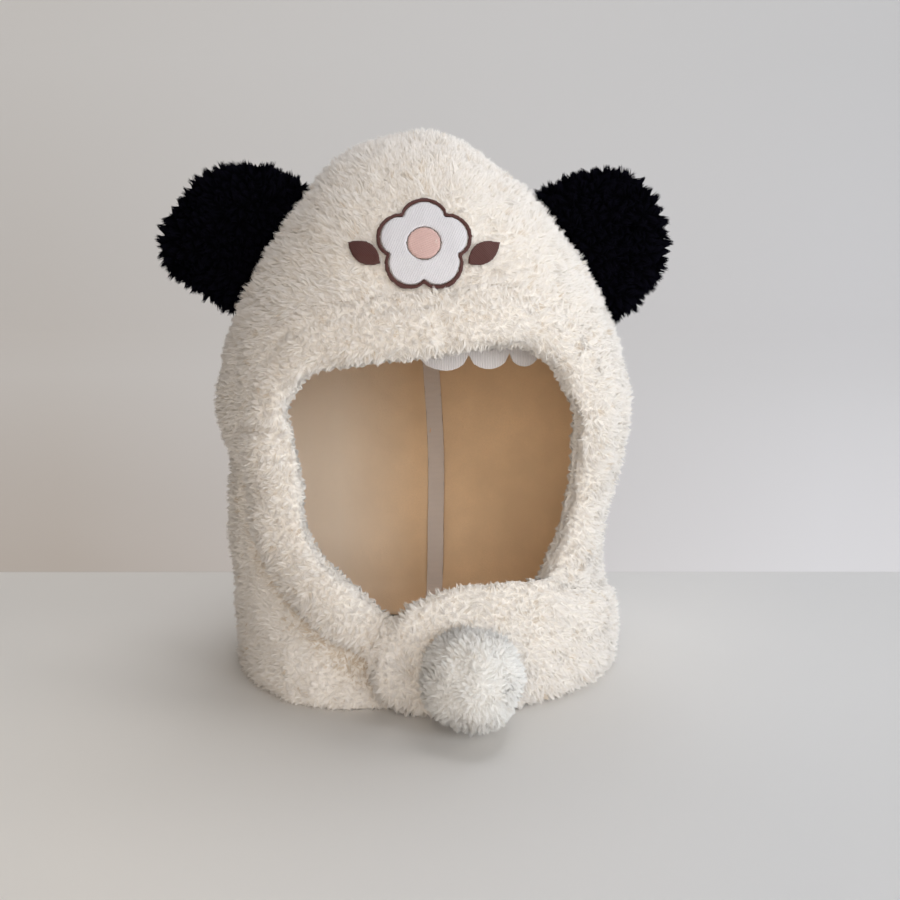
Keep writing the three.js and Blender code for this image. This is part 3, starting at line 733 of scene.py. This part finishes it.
class FleeceOperator(bpy.types.Operator):
    """Builds the cream fleece: the hood, the roll round the face and the flap, each with its pile"""

    bl_idname = "hood.fleece"
    bl_label = "Fleece"

    def execute(self, context):
        tint, n, size = colours(), counts(), sizes()
        ground = ground_look("fleece_ground", tint.fleece, tint.fleece_root, scale=240.0)
        locks = pile_look("fleece_pile", tint.fleece, tint.fleece_root, sheen=0.35, dark=0.94)
        hood = hood_skin()
        roll = roll_skin(hood)
        flap = flap_skin()
        hood.creased(CHEEK_FOLD, 3.0, 4.0)
        skins = {"hood_shell": hood, "face_rim": roll, "collar_flap": flap}
        growth = {node: grown(skins, node) for node in skins}
        inward = facing(roll, unit(MIDDLE - roll.points))
        growth["face_rim"] *= 1 - INSIDE_SHORTER * eased(inward, 0.05, 0.5)
        inward = facing(flap, unit((MIDDLE - flap.points) * (1, 1, 0)))
        growth["collar_flap"] *= 1 - INSIDE_SHORTER * eased(inward, 0.0, 0.4)
        for node, skin in skins.items():
            piece = added(skin.mesh.name, skin.mesh, ground)
            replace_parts(piece, node)
        badge = [tree_of(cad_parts[node].data) for node in BADGE]
        gap = np.minimum.reduce([sideways(hood, tree) for tree in badge])
        free = eased(gap, 0.2 * MM, 2.2 * MM) * growth["hood_shell"]
        upper = eased(hood.points[:, 2], 0.165, 0.185)
        common = {"width": size.fibre, "look": locks, "slot": "fleece", "floor": FLOOR_GAP}
        pile("crown_pile", hood, n.crown, 1.1 * size.pile, 1.3 * size.tuft, seed=11, growth=free * upper,
             gather=0.6, lean=0.35, comb=away_from_badge, **common)
        pile("collar_pile", hood, n.collar, 0.95 * size.pile, size.tuft, seed=12,
             growth=free * (1 - upper), gather=1.0, **common)
        pile("roll_pile", roll, n.roll, 0.95 * size.pile, size.tuft, seed=13,
             growth=growth["face_rim"], gather=0.9, **common)
        pile("flap_pile", flap, n.flap, 0.95 * size.pile, size.tuft, seed=14,
             growth=growth["collar_flap"], gather=0.95, **common)
        return {"FINISHED"}


EAR_EDGES = {  # a line on each ear's edge and how far it is drawn out, in millimetres
    "left": (((-137, 15, 255), (-134, 13, 240)), (-4.5, 0, -1.5)),
    "right": (((120, 30, 272), (132, 30, 262)), (3.0, 0, 4.0)),
}


class EarOperator(bpy.types.Operator):
    """Builds the two black plush ears"""

    bl_idname = "hood.ears"
    bl_label = "Ears"

    def execute(self, context):
        tint, n, size = colours(), counts(), sizes()
        ground = ground_look("plush_ground", tint.plush, tint.plush_root, scale=300.0, sheen=0.0)
        fibres = pile_look("plush_pile", tint.plush, tint.plush_root, sheen=0.0, dark=0.5)
        for seed, side in enumerate(("left", "right")):
            skin = Skin("ear_" + side, "plush_ear_" + side, 0.9 * size.voxel, 6)
            skin.sunk((1.2 + 0.8 * lumps(skin.points, 9 * MM, 5.0)) * MM)  # room for the pile
            line, shift = EAR_EDGES[side]
            skin.move(skin.points + np.array(shift) * MM * skin.near(line, 22.0)[:, None])
            piece = added("plush_ear_" + side, skin.mesh, ground)
            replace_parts(piece, "ear_" + side)
            pile("ear_pile_" + side, skin, n.ear, size.plush, 1.4 * size.tuft, width=1.15 * size.fibre,
                 look=fibres, slot="plush", seed=21 + seed, gather=0.95, patch=0.5)
        return {"FINISHED"}


class PompomOperator(bpy.types.Operator):
    """Builds the pompom, a ball of curled fleece"""

    bl_idname = "hood.pompom"
    bl_label = "Pompom"

    def execute(self, context):
        tint, n, size = colours(), counts(), sizes()
        ground = ground_look("pompom_ground", tint.ball, tint.ball_root, scale=260.0)
        fibres = pile_look("pompom_pile", tint.ball, tint.ball_root, sheen=0.3, dark=0.92)
        skin = Skin("pompom", "pompom_ball", 0.8 * size.voxel, 12)
        low, high = skin.points.min(0), skin.points.max(0)
        radius = (high[0] - low[0]) / 2
        middle = np.array([(low[0] + high[0]) / 2, low[1] + radius, (low[2] + high[2]) / 2])
        out = skin.points - middle
        free = eased(-out[:, 1] / radius, -0.75, -0.4)[:, None]  # 0 where the ball lies on the flap
        ball = middle + unit(out) * (radius - size.inset)
        skin.move(skin.points * (1 - free) + ball * free)
        skin.sunk((0.9 * lumps(skin.points, 14 * MM, 2.0) + 0.5 * lumps(skin.points, 5 * MM, 6.0)) * MM)
        piece = added("pompom_ball", skin.mesh, ground)
        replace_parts(piece, "pompom")
        pile("pompom_curls", skin, n.ball, size.ball, 0.8 * size.tuft, width=0.9 * size.fibre,
             look=fibres, slot="pompom_fleece", seed=31, gather=1.0, patch=0.5, floor=FLOOR_GAP)
        return {"FINISHED"}


SAG, SAG_HIGH = 30 * MM, 20 * MM  # of the lining's foot into the cavity, and how high it starts
LINING_THICKER = 1.5 * MM  # added on its hidden side, so the grid can't tear it


def sagged(points):
    """Points moved as the lining's foot sags towards the cavity's middle."""
    foot = SAG * np.clip(1 - points[:, 2] / SAG_HIGH, 0, 1) ** 2
    return points - unit((points - MIDDLE) * (1, 1, 0)) * foot[:, None]


class LiningOperator(bpy.types.Operator):
    """Builds the tan lining, the satin tape on its seam and the scalloped trim behind the brow"""

    bl_idname = "hood.lining"
    bl_label = "Lining, tape and trim"

    def execute(self, context):
        tint, size = colours(), sizes()
        weld = ("WELD", {"merge_threshold": 0.01 * MM})
        finer = ("SUBSURF", {"subdivision_type": "SIMPLE", "levels": 2, "render_levels": 2})
        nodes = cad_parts
        mesh = modified(nodes["hood_lining"].data, "lining_cloth", [weld, finer])
        points, _, normals = arrays(mesh)
        hidden = eased((normals * outward(points)).sum(1), 0.0, 0.3)
        set_points(mesh, points + normals * (LINING_THICKER * hidden)[:, None])
        mesh = modified(mesh, "lining_nap", [gridded(1.15 * size.voxel)])
        points, edges, normals = arrays(mesh)
        points = smoothed(points, edges, 12)
        folds = 0.9 * lumps(points * (1, 1, 0.35), 22 * MM, 1.3)
        folds += 0.8 * lumps(points, 40 * MM, 4.4)
        shown = eased((unit(MIDDLE - points) * normals).sum(1), 0.2, 0.6)
        points = points - normals * (folds * shown * MM)[:, None]
        set_points(mesh, sagged(points))
        piece = added("lining_nap", mesh, nap_look("lining_nap", tint.lining, scale=900.0))
        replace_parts(piece, "hood_lining")
        rounded = ("BEVEL", {"width": 0.35 * MM, "segments": 2, "angle_limit": math.radians(50)})
        mesh = modified(nodes["back_seam_tape"].data, "seam_tape", [weld, rounded, finer])
        points, edges, _ = arrays(mesh)
        points = smoothed(points, edges, 4)
        turn = points[:, 2] / size.rib
        ripple = np.sin(turn * 1.1) + np.sin(turn * 0.37 + points[:, 0] * 900)
        points[:, 1] -= 0.12 * MM * ripple
        set_points(mesh, sagged(points))
        look = satin_look("tape_satin", tint.tape, (0.0, 0.0, 1.0), 0.8 * MM)
        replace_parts(added("seam_tape", mesh, look), "back_seam_tape")
        mesh = modified(nodes["scallop_trim"].data, "scallop_trim_weave", [weld, rounded, finer])
        look = satin_look("trim_weave", tint.trim, (1.0, 0.0, 0.0), 0.9 * MM, gloss=0.6)
        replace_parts(added("scallop_trim_weave", mesh, look), "scallop_trim")
        return {"FINISHED"}


class BadgeOperator(bpy.types.Operator):
    """Builds the stitched flower and leaves of the badge"""

    bl_idname = "hood.badge"
    bl_label = "Badge"

    def execute(self, context):
        tint = colours()
        brown = satin_look("brown_thread", tint.brown, (0.7, 0.0, 0.7), 0.8 * MM)
        white = satin_look("white_thread", tint.white, (0.95, 0.0, 0.3), 0.8 * MM)
        pink = satin_look("pink_thread", tint.pink, (0.3, 0.0, 0.95), 0.8 * MM)
        looks = {
            "badge_outline": (brown, "brown_stitch"),
            "badge_petals": (white, "white_felt"),
            "badge_centre": (pink, "pink_felt"),
            "badge_leaf_left": (brown, "brown_stitch"),
            "badge_leaf_right": (brown, "brown_stitch"),
        }
        for node, (look, slot) in looks.items():
            name = node + "_stitched"
            mesh = modified(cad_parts[node].data, name, [gridded(0.75 * MM)])
            points, edges, _ = arrays(mesh)
            set_points(mesh, smoothed(points, edges, 3))
            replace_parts(added(name, mesh, look), node)
        return {"FINISHED"}


# Stage


EYE = (AXIS[0], AXIS[1] - 776.2 * MM, 316.8 * MM)
TILT = 14  # degrees that the camera looks down
FOCAL_PIXELS, FRAME_PIXELS = 1373.3, 900
AXIS_PIXEL = 424
WALL_LINE = 165 * MM  # where a thin line crosses the floor behind the hood
VIEW_SIDES = (-0.27, 0.31)  # slopes from the eye to the picture's left and right
REACH = 4.0  # half the floor's width, and the sweep's height
SWEEP_START, SWEEP = 1.2, 0.5  # where the floor starts to rise behind, and its bend
SWEEP_STEPS = 12

# Name, place, width in metres, watts and colour of each soft light
LAMPS = (
    ("right", (1.9, -0.2, 1.3), 1.0, 7.5, (1.0, 0.97, 0.93)),
    ("right_front", (1.5, -1.7, 0.8), 1.0, 13.5, (0.91, 0.95, 1.0)),
    ("right_low", (2.0, -0.9, 0.35), 1.0, 11.0, (0.84, 0.93, 1.0)),
    ("camera_side", (-0.3, -1.6, 0.6), 1.0, 5.5, (1.0, 0.86, 0.70)),
    ("front", (0.3, -2.4, 1.2), 1.6, 18.6, (0.95, 0.96, 1.0)),
    ("top", (0.3, 0.6, 2.3), 1.6, 22.5, (0.92, 0.95, 1.0)),
)
LAMP_TARGET = (0.0, 0.0, 0.12)
SKY = (0.0, 0.0, 0.0)

# Linear colours: the floor at left and right, beyond the line, and the line itself; the floor's left is
# painted paler and warmer and its right darker, as painted light and shade
FLOOR = ((0.80, 0.76, 0.705), (0.72, 0.715, 0.71))
BEYOND = (0.37, 0.37, 0.37)
LINE = (0.35, 0.33, 0.32)

# Painted light: glow of the backdrop in linear light, with painted shade at its low left: low left, low
# right, high left, high right
GLOW = ((0.19, 0.14, 0.095), (0.38, 0.37, 0.385), (0.31, 0.288, 0.265), (0.285, 0.28, 0.282))


def floor_look():
    """A pale studio floor, painted warmer on its left, that turns into a backdrop behind a thin line; the
    backdrop's light is a painted glow, with painted shade low on its left.
    """
    look = Look("studio_floor")
    place = look.place()
    side = look.node("ShaderNodeSeparateXYZ", None, {0: place}, output=0)
    back = look.node("ShaderNodeSeparateXYZ", None, {0: place}, output=1)
    high = look.node("ShaderNodeSeparateXYZ", None, {0: place}, output=2)
    beyond = back.within(WALL_LINE - 1 * MM, WALL_LINE + 1 * MM)
    line = 1 - (back - WALL_LINE).absolute().within(0.0, 1.6 * MM)
    across = (side * (back - EYE[1]) ** -1.0).within(*VIEW_SIDES)
    # Painted light and shade: the floor's tint runs from the paler, warmer left to the darker right
    body = look.mix(beyond, look.mix(across, *FLOOR), BEYOND)
    body = look.mix(line * 0.25, body, LINE)
    rise = back.within(0.17, 0.9) * 0.6 + high.within(0.0, 0.4) * 0.4
    # Painted light: the backdrop glows, darker and warmer low on the left as painted shade
    glow = look.mix(rise, look.mix(across, *GLOW[:2]), look.mix(across, *GLOW[2:]))
    glow = look.mix(beyond, (0.0, 0.0, 0.0), glow)
    return look.finish({
        "Base Color": body, "Roughness": 0.7, "Specular IOR Level": 0.2, "Emission Color": glow,
        "Emission Strength": 1.0,
    })


def lamp(name, place, target, width, power, tint):
    """A square soft light that looks at a point."""
    light = bpy.data.lights.new(name, "AREA")
    light.size = width
    light.energy = power
    light.color = tint
    made = bpy.data.objects.new(name, light)
    made.location = place
    made.rotation_euler = (Vector(target) - Vector(place)).to_track_quat("-Z", "Y").to_euler()
    bpy.context.scene.collection.objects.link(made)


class StageOperator(bpy.types.Operator):
    """Builds the floor, the soft lights and the camera"""

    bl_idname = "hood.stage"
    bl_label = "Stage"

    def execute(self, context):
        scene = context.scene
        mesh = bpy.data.meshes.new("studio_floor")
        bends = [math.radians(90 * k / SWEEP_STEPS) for k in range(SWEEP_STEPS + 1)]
        side = [(-REACH, 0.0)]
        side += [(SWEEP_START + SWEEP * math.sin(b), SWEEP - SWEEP * math.cos(b)) for b in bends]
        side.append((SWEEP_START + SWEEP, REACH))
        points = [(x, y, z) for y, z in side for x in (-REACH, REACH)]
        faces = [(2 * k, 2 * k + 1, 2 * k + 3, 2 * k + 2) for k in range(len(side) - 1)]
        mesh.from_pydata(points, [], faces)
        for face in mesh.polygons:
            face.use_smooth = True
        mesh.materials.append(floor_look())
        floor = bpy.data.objects.new("studio_floor", mesh)
        scene.collection.objects.link(floor)
        for name, place, width, power, tint in LAMPS:
            lamp(name, place, LAMP_TARGET, width, power, tint)
        world = bpy.data.worlds.new("studio")
        world.use_nodes = True
        world.node_tree.nodes["Background"].inputs["Color"].default_value = (*SKY, 1.0)
        scene.world = world
        camera = bpy.data.cameras.new("camera")
        camera.sensor_width = 36.0
        camera.lens = camera.sensor_width * FOCAL_PIXELS / FRAME_PIXELS
        camera.shift_x = 0.5 - AXIS_PIXEL / FRAME_PIXELS
        camera.clip_start = 0.01
        made = bpy.data.objects.new("camera", camera)
        made.location = EYE
        made.rotation_euler = (math.radians(90 - TILT), 0.0, 0.0)
        scene.collection.objects.link(made)
        scene.camera = made
        scene.view_settings.view_transform = "Standard"
        return {"FINISHED"}


OPERATORS = (
    StageOperator, LiningOperator, FleeceOperator, EarOperator, PompomOperator, BadgeOperator,
)


class HoodPanel(bpy.types.Panel):
    """Lists the hood's pieces and its settings"""

    bl_idname = "VIEW3D_PT_hood"
    bl_label = "Hood scarf"
    bl_space_type = "VIEW_3D"
    bl_region_type = "UI"
    bl_category = "Hood"

    def draw(self, context):
        for settings in (sizes(), counts(), colours()):
            column = self.layout.column()
            for key in settings.bl_rna.properties.keys():
                if key not in ("rna_type", "name"):
                    column.prop(settings, key)
        for operator in OPERATORS:
            self.layout.operator(operator.bl_idname)


CLASSES = (HoodSizes, HoodCounts, HoodColours, *OPERATORS, HoodPanel)


def register():
    for made in CLASSES:
        bpy.utils.register_class(made)
    for key, group in ((SIZES, HoodSizes), (COUNTS, HoodCounts), (COLOURS, HoodColours)):
        setattr(bpy.types.Scene, key, PointerProperty(type=group))


def unregister():
    for key in (SIZES, COUNTS, COLOURS):
        delattr(bpy.types.Scene, key)
    for made in reversed(CLASSES):
        bpy.utils.unregister_class(made)


def main():
    register()
    for operator in OPERATORS:
        group, name = operator.bl_idname.split(".")
        getattr(getattr(bpy.ops, group), name)()


if __name__ == "__main__":
    main()
